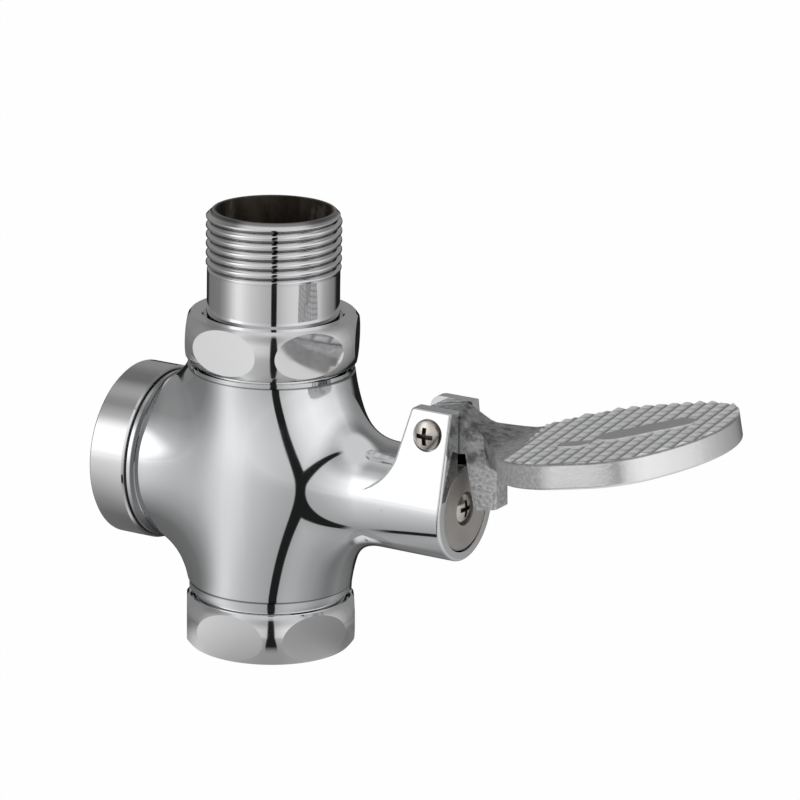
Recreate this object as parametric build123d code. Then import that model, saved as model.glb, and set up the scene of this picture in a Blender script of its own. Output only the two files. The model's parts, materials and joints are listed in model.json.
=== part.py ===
from build123d import *
import os
from math import acos, asin, atan2, ceil, cos, degrees, hypot, pi, radians, sin, sqrt, tan

# Foot pedal flush valve, in millimetres.
# Z is the water's way, from the inlet on top to the outlet below.
# X is the axis of the push rod, with the pedal towards +X and the rear cap towards -X.
# The origin is the centre of the lower face of the outlet nut, on which the valve stands.

# Fits
running_gap = 0.05         # radial gap of a pin or rod that turns or slides in its bore
thread_gap = 0.1           # radial gap between two screwed pieces
pipe_gap = 0.2             # radial gap of the flush pipe in the outlet
loose_gap = 0.8            # radial gap of the nipple in its nut
seal_gap = 0.1             # gap between a resting seal and the face it closes on
piston_gap = 0.3           # radial gap of the piston, which its cup seal closes

# Outlet union, from the bottom face upwards
flush_pipe_radius = 16.0   # the 32 mm flush pipe that is pushed into the outlet
pipe_depth = 22.0          # how far the flush pipe goes in
nut_lip = 2.5
slip_ring_height = 1.2
cone_seal_band = 2.8
cone_depth = 1.7           # 45 degree mouth that squeezes the cone seal
outlet_thread_length = 5.8
outlet_step_height = 1.4
outlet_step_rise = 0.2     # the turned step stands this far out of the thread
outlet_groove_width = 0.4
outlet_groove_depth = 0.4
outlet_bead_height = 1.6

# Barrel and inlet union
union_wall = 2.6           # wall of the threaded necks
neck_shoulder = 1.2        # the cast barrel stands this far out of the thread
bead_rise = 0.2            # the turned beads stand this far out of the barrel
barrel_length = 54.4
inlet_bead_height = 1.2
inlet_thread_length = 6.6
inlet_gasket_height = 1.6
water_way_radius = 14.5

# Union nuts, barrel-turned with six flats
nut_height = 12.5
nut_rim_wall = 1.3
nut_flat_wall = 1.85
nut_bulge_wall = 3.8
nut_mouth_chamfer = 0.7
inlet_lip_chamfer = 0.6
inlet_nut_turn = -32.7     # direction of one flat, in degrees
outlet_nut_turn = -26.3

# Inlet nipple with a G1 male thread
nipple_bore_radius = 14.15
nipple_plain_radius = 16.3
nipple_length = 30.5
nipple_flange_height = 2.4
thread_slack = 0.2         # what lies inside a nut is this much slimmer than the thread
thread_crest_radius = 16.62
thread_root_radius = 15.2
thread_pitch = 2.309
thread_turns = 6
thread_crest_flat = 0.3
nipple_end_chamfer = 0.9

# Cast outside of the body
push_axis_share = 0.511    # height of the push rod's axis over the barrel's lower end, in barrel lengths
rear_tube_inset = 0.8      # the rear tube is this much slimmer than the barrel
cast_blend_share = 0.4     # radius of the blends of barrel and tube, in barrel lengths
dome_start = 5.4           # the rear tube runs through the barrel up to here, and then rounds off
dome_roundness = 1.52      # radius of that dome's profile, in neck radii
horn_radius = 13.0
horn_end = 55.4
horn_blend_radius = 8.0
horn_rim_radius = 0.7      # rounding of the horn's mouth
rear_collar_front = -28.0
rear_collar_width = 1.1
rear_collar_rise = 1.8
rear_thread_length = 6.8

# Ears that carry the pedal
pivot_setback = 5.8        # of the pivot behind the end of the horn
pivot_rise = 19.7          # of the pivot above the push axis
ear_rise = 5.9             # of the ears' tops above the pivot
ear_top_half_width = 7.95
ear_back_reach = 5.3       # of the ears' tops behind the pivot
ear_back_lean = 12.8       # of their rear edge from upright, in degrees
ear_foot_radius = 14.0
ear_foot_rise = 3.4        # of the end of that sweep above the push axis
far_ear_setback = 1.3      # the far ear stands this far behind the near one
near_ear_corner = 1.2
far_ear_corner = 3.0
ear_edge_radius = 0.8
slot_half_width = 4.4
slot_floor_rise = 0.2      # of the slot's floor above the horn's top
slot_length = 17.0
throat_length = 6.9        # at the horn's end the slot opens into the button bore
spot_face_place = 8.3      # of the screw head's seat from the middle plane
spot_face_radius = 3.9

# Chambers inside the body
seat_wall_place = -6.5
seat_wall_thickness = 3.0
seat_bore_radius = 9.0
seat_lip_width = 1.2
seat_lip_height = 0.8
chamber_radius = 15.5
inlet_floor_rise = 0.9     # of the inlet's floor above the piston chamber
outlet_floor_wall = 2.6    # of the wall under the piston chamber
outlet_chamber_radius = 11.5
outlet_chamber_end = 17.0
gland_socket_depth = 10.0
button_bore_depth = 18.4
horn_wall = 2.3            # of the wall round the button bore

# Rear cap
cap_overhang = 2.9         # the cap stands this far out of its thread
cap_joint_gap = 0.55
cap_seal_height = 1.1
cap_wall = 2.8
cap_boss_radius = 8.0
cap_boss_length = 2.5
cap_socket_flats = 12.0
cap_socket_depth = 3.5
cap_edge = 0.5

# Piston, its seals and their fastenings
seat_disc_height = 3.0
seat_disc_overlap = 0.8    # the rubber reaches this far past the seat's lip
backing_height = 2.0
backing_overlap = 1.3
waist_radius = 8.6
waist_length = 5.1
piston_flange_height = 3.0
spigot_radius = 9.0
cup_seal_height = 3.0
cup_lip_thickness = 0.5
cup_web_thickness = 1.3
cup_ring_height = 1.0
cup_ring_width = 3.0
retainer_flange_radius = 7.5
retainer_flange_height = 2.0
retainer_stem_radius = 4.9
retainer_stem_length = 4.8
retainer_bore_radius = 2.6
relief_chamber_radius = 6.5
relief_chamber_depth = 9.0
relief_port_radius = 2.8
bleed_radius = 0.5

# Relief valve in the piston
relief_stem_radius = 1.5
relief_head_radius = 4.5
relief_head_height = 1.5
relief_seal_height = 1.4
relief_stem_tail = 0.9     # of the stem inside the plug
plug_height = 1.5
plug_vent_radius = 0.6
plug_vent_circle = 4.0
relief_wire = 0.45
relief_coil_radius = 3.2
relief_coil_turns = 3
piston_wire = 0.8
piston_coil_radius = 10.4
piston_coil_turns = 4

# Push rod, gland and button
rod_radius = 3.0
rod_length = 43.8
rod_tip_radius = 2.0
rod_tip_length = 3.5
rod_lead = 1.5             # gap between the rod and the relief stem at rest
gland_thread_radius = 7.4
gland_floor_gap = 0.5
gland_flange_flats = 16.0
gland_flange_height = 2.5
gland_seal_height = 0.8
gland_seal_width = 1.4
o_ring_section_radius = 0.88
o_ring_groove_depth = 1.85
o_ring_groove_width = 2.0
o_ring_places = (3.0, 7.0) # behind the front end of the gland's thread
button_inset = 0.1         # of the button's face from the horn's end
button_gap = 0.35
button_thickness = 3.0
button_edge = 0.35
button_recess_radius = 4.2
button_recess_depth = 2.1
return_wire = 0.9
return_coil_radius = 6.4
return_coil_turns = 4
spring_end_gap = 0.1

# M4 screws with pan heads
screw_radius = 2.0
screw_clearance = 0.2
screw_head_radius = 3.5
button_head_height = 2.4
pivot_head_height = 2.6
screw_dome = 0.9
cross_width = 1.0
cross_reach = 2.1
cross_depth = 1.3
button_screw_length = 8.0
pivot_screw_length = 16.3

# Pedal, drawn level about its pivot and then lifted
pedal_lift = 11.6          # degrees at rest
hub_side_gap = 0.4         # on each side of the hub in its slot
hub_top = 4.9
hub_top_front = 4.5
hub_back = 6.2
hub_floor = 6.0
hub_heel = 1.5             # the heel's corner is cut by this much
hub_floor_back = 2.0
plate_top = 3.65           # depth of the plate's top below the pivot
plate_thickness = 6.0
plate_tip = 74.0
plate_half_width = 29.9
plate_front_radius = 41.2
plate_corner_radius = 16.0
plate_shoulder_place = 46.0
plate_shoulder_radius = 27.5
plate_shoulder_turn = 60.8 # degrees of the shoulder's arc
plate_flare_radius = 41.4
plate_neck_half_width = 3.8
plate_edge_radius = 0.6
ramp_top = 10.0
ramp_height = 4.2          # of the neck's ramp above the plate's top
ramp_end = 19.2
ramp_blend_radius = 6.0
tab_rear = 6.5
tab_foot_thickness = 6.0
tab_top_thickness = 7.6
tab_length = 20.1
tab_neck = 1.2
tab_near_edge = 0.7
tab_far_edge = 3.0

# Raised tread of the plate, with its two blank pads
tread_height = 0.8
tread_base = 0.1           # left whole under the studs
tread_top_flat = 0.5
tread_row = (-0.8, 4.55)   # step from one stud to the next along a row
tread_file = (3.45, 0.5)   # step from one row to the next
tread_origin = (31.0, -25.0)
tread_rear_line = ((29.9, -25.0), (20.4, 13.8))
pad_height = 0.9
pad_length = 24.0
pad_width = 9.0
pad_place = (54.0, 1.0)
pad_turn = 45.0
small_pad_length = 8.0
small_pad_width = 4.5
small_pad_place = (41.3, -12.0)
overlap = 0.02             # by which a raised form is sunk into what carries it

# Heights that follow
pipe_bore_radius = flush_pipe_radius + pipe_gap
union_thread_radius = pipe_bore_radius + union_wall
union_bore_radius = union_thread_radius + thread_gap
union_insert_radius = union_thread_radius - thread_slack
neck_radius = union_thread_radius + neck_shoulder
bead_radius = neck_radius + bead_rise
outlet_neck_end = nut_lip + slip_ring_height + cone_seal_band + seal_gap
outlet_step_bottom = outlet_neck_end + outlet_thread_length
outlet_groove_bottom = outlet_step_bottom + outlet_step_height
outlet_bead_bottom = outlet_groove_bottom + outlet_groove_width
barrel_bottom = outlet_bead_bottom + outlet_bead_height
barrel_top = barrel_bottom + barrel_length
cast_blend_radius = cast_blend_share * barrel_length
inlet_bead_top = barrel_top + inlet_bead_height
inlet_neck_end = inlet_bead_top + inlet_thread_length
nipple_bottom = inlet_neck_end + inlet_gasket_height
inlet_nut_top = nipple_bottom + nipple_flange_height + nut_lip
nipple_top = nipple_bottom + nipple_length
axis_height = barrel_bottom + push_axis_share * barrel_length
horn_top = axis_height + horn_radius
pivot_height = axis_height + pivot_rise
ear_top = pivot_height + ear_rise
inlet_floor = axis_height + chamber_radius + inlet_floor_rise
outlet_roof = axis_height - chamber_radius - outlet_floor_wall

# Places along the push axis that follow
rear_tube_radius = neck_radius - rear_tube_inset
seat_wall_front = seat_wall_place + seat_wall_thickness
seat_lip_radius = seat_bore_radius + seat_lip_width
seat_lip_face = seat_wall_place - seat_lip_height
seat_disc_front = seat_lip_face - seal_gap
seat_disc_rear = seat_disc_front - seat_disc_height
backing_rear = seat_disc_rear - backing_height
waist_rear = backing_rear - waist_length
piston_flange_rear = waist_rear - piston_flange_height
cup_seal_rear = piston_flange_rear - cup_seal_height
piston_rear = cup_seal_rear - cup_ring_height
relief_seat = piston_rear + relief_chamber_depth
relief_head_front = relief_seat - relief_seal_height
relief_head_rear = relief_head_front - relief_head_height
plug_front = piston_rear + plug_height
rear_collar_rear = rear_collar_front - rear_collar_width
rear_neck_end = rear_collar_rear - rear_thread_length
cap_front = rear_collar_rear - cap_joint_gap
cap_floor = rear_neck_end - cap_seal_height
cap_back = cap_floor - cap_wall
pivot_x = horn_end - pivot_setback
button_face = horn_end - button_inset
button_rear = button_face - button_thickness
button_bore_start = horn_end - button_bore_depth
button_bore_radius = horn_radius - horn_wall
gland_socket_start = button_bore_start - gland_socket_depth
gland_flange_rear = button_bore_start + gland_seal_height
gland_flange_front = gland_flange_rear + gland_flange_height
gland_rear = gland_socket_start + gland_floor_gap
rod_bore_radius = rod_radius + running_gap
rod_rear = button_rear - rod_length
relief_stem_front = rod_rear - rod_lead

# Sizes of the pedal that follow
screw_bore_radius = screw_radius + running_gap
screw_clear_radius = screw_radius + screw_clearance
hub_half_width = slot_half_width - hub_side_gap
plate_bottom = -plate_top - plate_thickness
ramp_start = ramp_height - plate_top


def rod_x(radius, start, end):
    """A round bar along the push axis, from one X to another."""
    bar = Cylinder(radius, end - start, align=(Align.CENTER, Align.CENTER, Align.MIN))
    return Pos(start, 0, axis_height) * Rot(0, 90, 0) * bar


def bar_z(radius, bottom, top):
    """A round upright bar on the water's axis."""
    bar = Cylinder(radius, top - bottom, align=(Align.CENTER, Align.CENTER, Align.MIN))
    return Pos(0, 0, bottom) * bar


def bar_y(radius, near, far, x, z):
    """A round bar across the valve, from one Y to another."""
    bar = Cylinder(radius, far - near, align=(Align.CENTER, Align.CENTER, Align.MIN))
    return Pos(x, near, z) * Rot(-90, 0, 0) * bar


def block(x0, x1, y0, y1, z0, z1):
    """A box between two corners."""
    size = Box(x1 - x0, y1 - y0, z1 - z0, align=(Align.MIN, Align.MIN, Align.MIN))
    return Pos(x0, y0, z0) * size


def turned_z(points):
    """A ring about the water's axis from its section, given as (radius, height)."""
    section = make_face(Polyline([(r, 0, z) for r, z in points], close=True))
    return revolve(section, Axis.Z)


def turned_x(points):
    """A ring about the push axis from its section, given as (X, radius)."""
    section = make_face(Polyline([(x, 0, axis_height + r) for x, r in points], close=True))
    return revolve(section, Axis((0, 0, axis_height), (1, 0, 0)))


def hexagon_x(flats, start, end):
    """A hexagonal bar along the push axis."""
    bar = extrude(RegularPolygon(flats / 2, 6, major_radius=False), amount=end - start)
    return Pos(start, 0, axis_height) * Rot(0, 90, 0) * bar


def coil_x(mean_radius, wire, start, end, turns):
    """A compression spring between two seats on the push axis.

    Each quarter turn of the helix is a pair of arcs that share a tangent where they meet.
    """
    length = end - start - wire - 2 * spring_end_gap
    slope = length / (turns * 2 * pi)
    first = start + wire / 2 + spring_end_gap

    def point(angle):
        return Vector(first + slope * angle, mean_radius * cos(angle), axis_height + mean_radius * sin(angle))

    def heading(angle):
        return Vector(slope, -mean_radius * sin(angle), mean_radius * cos(angle)).normalized()

    arcs = []
    for k in range(4 * turns):
        a = k * pi / 2
        b = a + pi / 2
        span = point(b) - point(a)
        both = heading(a) + heading(b)
        bend = 2 * (1 - heading(a).dot(heading(b)))
        reach = (sqrt(span.dot(both) ** 2 + bend * span.dot(span)) - span.dot(both)) / bend
        before = point(a) + heading(a) * reach
        after = point(b) - heading(b) * reach
        middle = (before + after) * 0.5
        arcs.append(TangentArc(point(a), middle, tangent=heading(a)))
        arcs.append(TangentArc(middle, point(b), tangent=(after - before).normalized()))
    section = Plane(origin=point(0), z_dir=heading(0)) * Circle(wire / 2)
    return sweep(section, path=Wire(arcs))


def pan_screw(head_height, length):
    """A screw along +Z with its head below the origin, domed, with a cross recess."""
    rim = (screw_head_radius, 0, screw_dome - head_height)
    crown = (0, 0, -head_height)
    section = make_face([
        Polyline([crown, (0, 0, 0), (screw_head_radius, 0, 0), rim]),
        ThreePointArc(rim, (screw_head_radius * 0.6, 0, screw_dome * 0.33 - head_height), crown),
    ])
    shank = Cylinder(screw_radius, length, align=(Align.CENTER, Align.CENTER, Align.MIN))
    shank = chamfer(shank.edges().sort_by(Axis.Z)[-1], screw_radius / 5)
    screw = revolve(section, Axis.Z) + shank
    for turn in (0, 90):
        cross = Box(2 * cross_reach, cross_width, 2 * cross_depth)
        screw -= Pos(0, 0, -head_height) * Rot(0, 0, turn) * cross
    return screw


def blend_edges(solid):
    """The edges where two cylinders of a solid meet."""
    return [e for e in solid.edges() if e.geom_type not in (GeomType.CIRCLE, GeomType.LINE)]


def domed_tube():
    """Rear tube, which runs through the barrel and ends in a dome behind the horn."""
    dome_radius = dome_roundness * neck_radius
    drop = dome_radius - rear_tube_radius
    dome_end = dome_start + sqrt(dome_radius**2 - drop**2)
    turn = asin((dome_end - dome_start) / dome_radius) / 2
    middle = (dome_start + dome_radius * sin(turn), 0, axis_height - drop + dome_radius * cos(turn))
    shoulder = (dome_start, 0, axis_height + rear_tube_radius)
    apex = (dome_end, 0, axis_height)
    section = make_face([
        Polyline([apex, (rear_collar_front, 0, axis_height),
                  (rear_collar_front, 0, axis_height + rear_tube_radius), shoulder]),
        ThreePointArc(shoulder, middle, apex),
    ])
    return revolve(section, Axis((0, 0, axis_height), (1, 0, 0)))


def within(edge, low, high, reach):
    """Whether an edge lies between two heights along the push axis and near enough to it."""
    box = edge.bounding_box()
    across = max(-box.min.Y, box.max.Y, axis_height - box.min.Z, box.max.Z - axis_height)
    return box.min.X > low and box.max.X < high and across < reach


def cast_shell():
    """Barrel, domed rear tube and horn, run into each other with wide cast blends."""
    shell = bar_z(neck_radius, barrel_bottom, barrel_top) + domed_tube()
    behind = [e for e in blend_edges(shell) if e.center().X < 0]
    shell = fillet(behind, cast_blend_radius)
    ahead = [e for e in blend_edges(shell) if within(e, 0, 1.05 * neck_radius, 1.05 * neck_radius)]
    shell = fillet(ahead, cast_blend_radius)
    horn = rod_x(horn_radius, 0, horn_end)
    rim = horn.edges().sort_by(Axis.X)[-1]
    shell = shell + fillet(rim, horn_rim_radius)
    root = [e for e in blend_edges(shell) if within(e, neck_radius, horn_end - 1, horn_radius + 0.2)]
    return fillet(root, horn_blend_radius)


def ear(side, corner_radius, setback):
    """One ear: its outer face is tangent to the horn, and its rear edge sweeps down into the horn's side."""
    rise = ear_top - axis_height
    foot_angle = atan2(rise, ear_top_half_width) - acos(horn_radius / hypot(ear_top_half_width, rise))
    foot = (horn_radius * cos(foot_angle), axis_height + horn_radius * sin(foot_angle))
    front = [(0, axis_height), foot, (ear_top_half_width, ear_top), (0, ear_top)]
    profile = make_face(Polyline([(0, side * y, z) for y, z in front], close=True))
    upright = extrude(profile, amount=horn_end, dir=(1, 0, 0))

    low = axis_height + ear_foot_rise
    front_x = horn_end - setback
    top_back = (pivot_x - ear_back_reach - setback, ear_top)
    foot_back = (top_back[0] - (ear_top - low) * tan(radians(ear_back_lean)), low)
    start = foot_back[0] - ear_foot_radius
    outline = [
        (front_x, axis_height), (front_x, ear_top), top_back, foot_back, (start, low), (start, axis_height),
    ]
    face = make_face(Polyline([(x, 0, z) for x, z in outline], close=True))
    for (x, z), radius in ((top_back, corner_radius), (foot_back, ear_foot_radius)):
        nearest = sorted(face.vertices(), key=lambda v: hypot(v.X - x, v.Z - z))[0]
        face = fillet(nearest, radius)
    solid = upright & extrude(face, amount=neck_radius, both=True)
    outer = sorted(solid.faces(), key=lambda f: side * f.normal_at().Y)[-1]
    edges = [e for e in outer.edges() if e.center().Z > low]
    return fillet(edges, ear_edge_radius)


def valve_body():
    body = cast_shell() + ear(-1, near_ear_corner, 0) + ear(1, far_ear_corner, far_ear_setback)

    # Turned beads and threaded necks
    body += bar_z(bead_radius, outlet_bead_bottom, barrel_bottom)
    body += bar_z(union_thread_radius - outlet_groove_depth, outlet_groove_bottom, outlet_bead_bottom)
    body += bar_z(union_thread_radius + outlet_step_rise, outlet_step_bottom, outlet_groove_bottom)
    body += bar_z(union_thread_radius, outlet_neck_end, outlet_step_bottom)
    body += bar_z(bead_radius, barrel_top, inlet_bead_top)
    body += bar_z(union_thread_radius, inlet_bead_top, inlet_neck_end)
    body += rod_x(rear_tube_radius + rear_collar_rise, rear_collar_rear, rear_collar_front)
    body += rod_x(union_thread_radius, rear_neck_end, rear_collar_rear)

    # Inlet way, piston chamber and seat
    reach = 2 * neck_radius
    body -= bar_z(water_way_radius, inlet_floor, inlet_neck_end)
    body -= rod_x(chamber_radius, rear_neck_end, seat_wall_place)
    drop = bar_z(water_way_radius, axis_height, inlet_floor)
    body -= drop & block(-reach, seat_wall_place, -reach, reach, 0, inlet_floor)
    body -= rod_x(seat_bore_radius, seat_wall_place, seat_wall_front)
    body += turned_x([
        (seat_lip_face, seat_bore_radius), (seat_lip_face, seat_lip_radius),
        (seat_wall_place, seat_lip_radius), (seat_wall_place, seat_bore_radius),
    ])

    # Outlet chamber, outlet way and socket of the flush pipe
    body -= rod_x(outlet_chamber_radius, seat_wall_front, outlet_chamber_end)
    rise = bar_z(water_way_radius, outlet_roof, axis_height)
    body -= rise & block(seat_wall_front, reach, -reach, reach, 0, axis_height)
    body -= bar_z(water_way_radius, pipe_depth, outlet_roof)
    body -= bar_z(pipe_bore_radius, outlet_neck_end, pipe_depth)
    body -= turned_z([
        (0, outlet_neck_end), (pipe_bore_radius + cone_depth, outlet_neck_end),
        (pipe_bore_radius, outlet_neck_end + cone_depth), (0, outlet_neck_end + cone_depth),
    ])

    # Rod guide, gland socket and button bore
    body -= rod_x(rod_bore_radius, outlet_chamber_end, gland_socket_start)
    body -= rod_x(gland_thread_radius + thread_gap, gland_socket_start, button_bore_start)
    body -= rod_x(button_bore_radius, button_bore_start, horn_end)

    # Slot between the ears, pivot holes and seat of the pivot screw
    above = ear_top + ear_rise
    floor = horn_top + slot_floor_rise
    body -= block(horn_end - slot_length, horn_end, -slot_half_width, slot_half_width, floor, above)
    body -= block(horn_end - throat_length, horn_end, -slot_half_width, slot_half_width, axis_height, above)
    body -= bar_y(screw_clear_radius, -neck_radius, 0, pivot_x, pivot_height)
    body -= bar_y(screw_bore_radius, 0, neck_radius, pivot_x, pivot_height)
    body -= bar_y(spot_face_radius, -neck_radius, -spot_face_place, pivot_x, pivot_height)
    return body


def union_nut(lip_face, way, lip_bore, lip_chamfer, turn):
    """A barrel-turned hexagon nut; way is +1 when it opens upwards from its lip, and -1 downwards."""
    rim = union_bore_radius + nut_rim_wall
    bulge = union_bore_radius + nut_bulge_wall

    def at(radius, depth):
        return (radius, 0, lip_face + way * depth)

    inside = [
        at(rim, nut_height), at(union_bore_radius + nut_mouth_chamfer, nut_height),
        at(union_bore_radius, nut_height - nut_mouth_chamfer), at(union_bore_radius, nut_lip),
        at(lip_bore, nut_lip), at(lip_bore, lip_chamfer),
    ]
    if lip_chamfer > 0:
        inside.append(at(lip_bore + lip_chamfer, 0))
    inside.append(at(rim, 0))
    barrel = ThreePointArc(at(rim, 0), at(bulge, nut_height / 2), at(rim, nut_height))
    nut = revolve(make_face([Polyline(inside), barrel]), Axis.Z)
    first_corner = turn + 180 / 6
    flats = RegularPolygon(union_bore_radius + nut_flat_wall, 6, major_radius=False, rotation=first_corner)
    bottom = min(lip_face, lip_face + way * nut_height)
    return nut & Pos(0, 0, bottom) * extrude(flats, amount=nut_height)


def inlet_nipple():
    """A flanged tail whose upper end has the rings of a G1 thread."""
    chamfered = nipple_top - nipple_end_chamfer
    shoulder = nipple_bottom + nipple_flange_height
    outline = [
        (nipple_bore_radius, nipple_bottom), (union_insert_radius, nipple_bottom),
        (union_insert_radius, shoulder), (nipple_plain_radius, shoulder),
    ]
    rise = (thread_pitch - thread_crest_flat) / 2
    z = chamfered - thread_turns * thread_pitch
    outline.append((nipple_plain_radius, z - rise))
    for _ in range(thread_turns):
        outline += [
            (thread_root_radius, z), (thread_crest_radius, z + rise),
            (thread_crest_radius, z + rise + thread_crest_flat),
        ]
        z += thread_pitch
    outline += [
        (thread_root_radius, chamfered), (thread_root_radius, nipple_top),
        (nipple_bore_radius, nipple_top),
    ]
    return turned_z(outline)


def inlet_gasket():
    return turned_z([
        (water_way_radius, inlet_neck_end), (union_insert_radius, inlet_neck_end),
        (union_insert_radius, nipple_bottom), (water_way_radius, nipple_bottom),
    ])


def outlet_slip_ring():
    top = nut_lip + slip_ring_height
    return turned_z([
        (pipe_bore_radius, nut_lip), (union_insert_radius, nut_lip),
        (union_insert_radius, top), (pipe_bore_radius, top),
    ])


def outlet_cone_seal():
    """Rubber ring with a 45 degree nose that the nut presses into the outlet's mouth."""
    bottom = nut_lip + slip_ring_height
    shoulder = bottom + cone_seal_band
    nose = cone_depth - 2 * seal_gap
    return turned_z([
        (pipe_bore_radius, bottom), (union_insert_radius, bottom), (union_insert_radius, shoulder),
        (pipe_bore_radius + nose, shoulder), (pipe_bore_radius + seal_gap, shoulder + nose - seal_gap),
        (pipe_bore_radius, shoulder + nose - seal_gap),
    ])


def rear_cap():
    """Screw cap with a boss inside that centres the spring, and a hexagon socket outside."""
    outer = union_thread_radius + cap_overhang + thread_gap
    boss_end = cap_floor + cap_boss_length
    cap = turned_x([
        (cap_back, 0), (cap_back, outer - cap_edge), (cap_back + cap_edge, outer),
        (cap_front - cap_edge, outer), (cap_front, outer - cap_edge),
        (cap_front, union_bore_radius), (cap_floor, union_bore_radius),
        (cap_floor, cap_boss_radius), (boss_end, cap_boss_radius), (boss_end, 0),
    ])
    return cap - hexagon_x(cap_socket_flats, cap_back, cap_back + cap_socket_depth)


def rear_cap_seal():
    inner = chamber_radius + seal_gap
    outer = union_thread_radius - seal_gap
    return turned_x([
        (cap_floor, inner), (cap_floor, outer), (rear_neck_end, outer), (rear_neck_end, inner),
    ])


def piston():
    """Stepped piston, bored out from behind for the relief valve."""
    backing_radius = seat_lip_radius + backing_overlap
    flange_radius = chamber_radius - piston_gap
    solid = turned_x([
        (seat_disc_rear, 0), (seat_disc_rear, backing_radius), (backing_rear, backing_radius),
        (backing_rear, waist_radius), (waist_rear, waist_radius), (waist_rear, flange_radius),
        (piston_flange_rear, flange_radius), (piston_flange_rear, spigot_radius),
        (piston_rear, spigot_radius), (piston_rear, 0),
    ])
    stem_end = seat_disc_front - retainer_stem_length
    solid -= rod_x(retainer_stem_radius + thread_gap, stem_end, seat_disc_rear)
    solid -= rod_x(relief_port_radius, relief_seat, stem_end)
    solid -= rod_x(relief_chamber_radius, piston_rear, relief_seat)
    bleed_place = relief_head_front - relief_head_height / 2
    return solid - Pos(bleed_place, 0, 0) * bar_z(bleed_radius, axis_height, axis_height + waist_radius + 1)


def seat_disc():
    inner = retainer_stem_radius + thread_gap
    outer = seat_lip_radius + seat_disc_overlap
    return turned_x([
        (seat_disc_rear, inner), (seat_disc_rear, outer), (seat_disc_front, outer), (seat_disc_front, inner),
    ])


def seat_disc_retainer():
    """Hollow screw that clamps the rubber disc to the piston's face."""
    front = seat_disc_front + retainer_flange_height
    rear = seat_disc_front - retainer_stem_length
    edge = retainer_flange_height / 5
    return turned_x([
        (rear, retainer_bore_radius), (rear, retainer_stem_radius),
        (seat_disc_front, retainer_stem_radius), (seat_disc_front, retainer_flange_radius),
        (front - edge, retainer_flange_radius), (front, retainer_flange_radius - edge),
        (front, retainer_bore_radius),
    ])


def piston_cup_seal():
    """Rubber cup with its outer lip spread towards the rear chamber."""
    inner = spigot_radius + seal_gap
    outer = chamber_radius - seal_gap
    web = piston_flange_rear - cup_web_thickness
    return turned_x([
        (piston_flange_rear, inner), (piston_flange_rear, outer - seal_gap),
        (cup_seal_rear, outer), (cup_seal_rear, outer - cup_lip_thickness),
        (web, outer - 3 * cup_lip_thickness), (web, inner + cup_ring_width),
        (cup_seal_rear, inner + cup_ring_width), (cup_seal_rear, inner),
    ])


def cup_retainer_ring():
    inner = spigot_radius + running_gap
    outer = spigot_radius + cup_ring_width
    return turned_x([
        (piston_rear, inner), (piston_rear, outer), (cup_seal_rear, outer), (cup_seal_rear, inner),
    ])


def relief_valve():
    """Stem that the push rod tips back, with the head that closes the piston's port."""
    rear = plug_front - relief_stem_tail
    tip = relief_stem_radius / 4
    return turned_x([
        (rear, 0), (rear, relief_stem_radius), (relief_head_rear, relief_stem_radius),
        (relief_head_rear, relief_head_radius), (relief_head_front, relief_head_radius),
        (relief_head_front, relief_stem_radius), (relief_stem_front - tip, relief_stem_radius),
        (relief_stem_front, relief_stem_radius - tip), (relief_stem_front, 0),
    ])


def relief_seal():
    inner = relief_stem_radius + running_gap
    front = relief_seat - seal_gap
    return turned_x([
        (relief_head_front, inner), (relief_head_front, relief_head_radius),
        (front, relief_head_radius), (front, inner),
    ])


def relief_spring_plug():
    """Screwed disc that guides the stem and lets water through beside it."""
    plug = rod_x(relief_chamber_radius - thread_gap, piston_rear, plug_front)
    plug -= rod_x(relief_stem_radius + running_gap, piston_rear, plug_front)
    for turn in (30, 150, 270):
        y = plug_vent_circle * cos(radians(turn))
        z = plug_vent_circle * sin(radians(turn))
        plug -= Pos(0, y, z) * rod_x(plug_vent_radius, piston_rear, plug_front)
    return plug


def push_rod():
    shoulder = rod_rear + rod_tip_length
    rod = turned_x([
        (rod_rear, 0), (rod_rear, rod_tip_radius), (shoulder, rod_tip_radius),
        (shoulder + rod_radius - rod_tip_radius, rod_radius), (button_rear, rod_radius), (button_rear, 0),
    ])
    return rod - rod_x(screw_bore_radius, button_rear - button_screw_length, button_rear)


def rod_gland():
    """Screwed gland with a hexagon flange and two grooves for the rod's rings."""
    gland = rod_x(gland_thread_radius, gland_rear, gland_flange_rear)
    gland += hexagon_x(gland_flange_flats, gland_flange_rear, gland_flange_front)
    gland -= rod_x(rod_bore_radius, gland_rear, gland_flange_front)
    for place in o_ring_places:
        middle = button_bore_start - place
        half = o_ring_groove_width / 2
        gland -= rod_x(rod_bore_radius + o_ring_groove_depth, middle - half, middle + half)
    return gland


def rod_o_rings():
    mean_radius = rod_bore_radius + o_ring_groove_depth / 2
    ring = Torus(mean_radius, o_ring_section_radius)
    return Compound(children=[
        Pos(button_bore_start - place, 0, axis_height) * Rot(0, 90, 0) * ring for place in o_ring_places
    ])


def gland_seal():
    inner = gland_thread_radius + thread_gap + seal_gap
    outer = inner + gland_seal_width
    return turned_x([
        (button_bore_start, inner), (button_bore_start, outer),
        (gland_flange_rear, outer), (gland_flange_rear, inner),
    ])


def button_disc():
    radius = button_bore_radius - button_gap
    recess = button_face - button_recess_depth
    return turned_x([
        (button_rear, screw_clear_radius), (button_rear, radius), (button_face - button_edge, radius),
        (button_face, radius - button_edge), (button_face, button_recess_radius),
        (recess, button_recess_radius), (recess, screw_clear_radius),
    ])


def button_screw():
    seat = button_face - button_recess_depth
    return Pos(seat, 0, axis_height) * Rot(0, -90, 0) * pan_screw(button_head_height, button_screw_length)


def pivot_screw():
    screw = pan_screw(pivot_head_height, pivot_screw_length)
    return Pos(pivot_x, -spot_face_place, pivot_height) * Rot(-90, 0, 0) * screw


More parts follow.
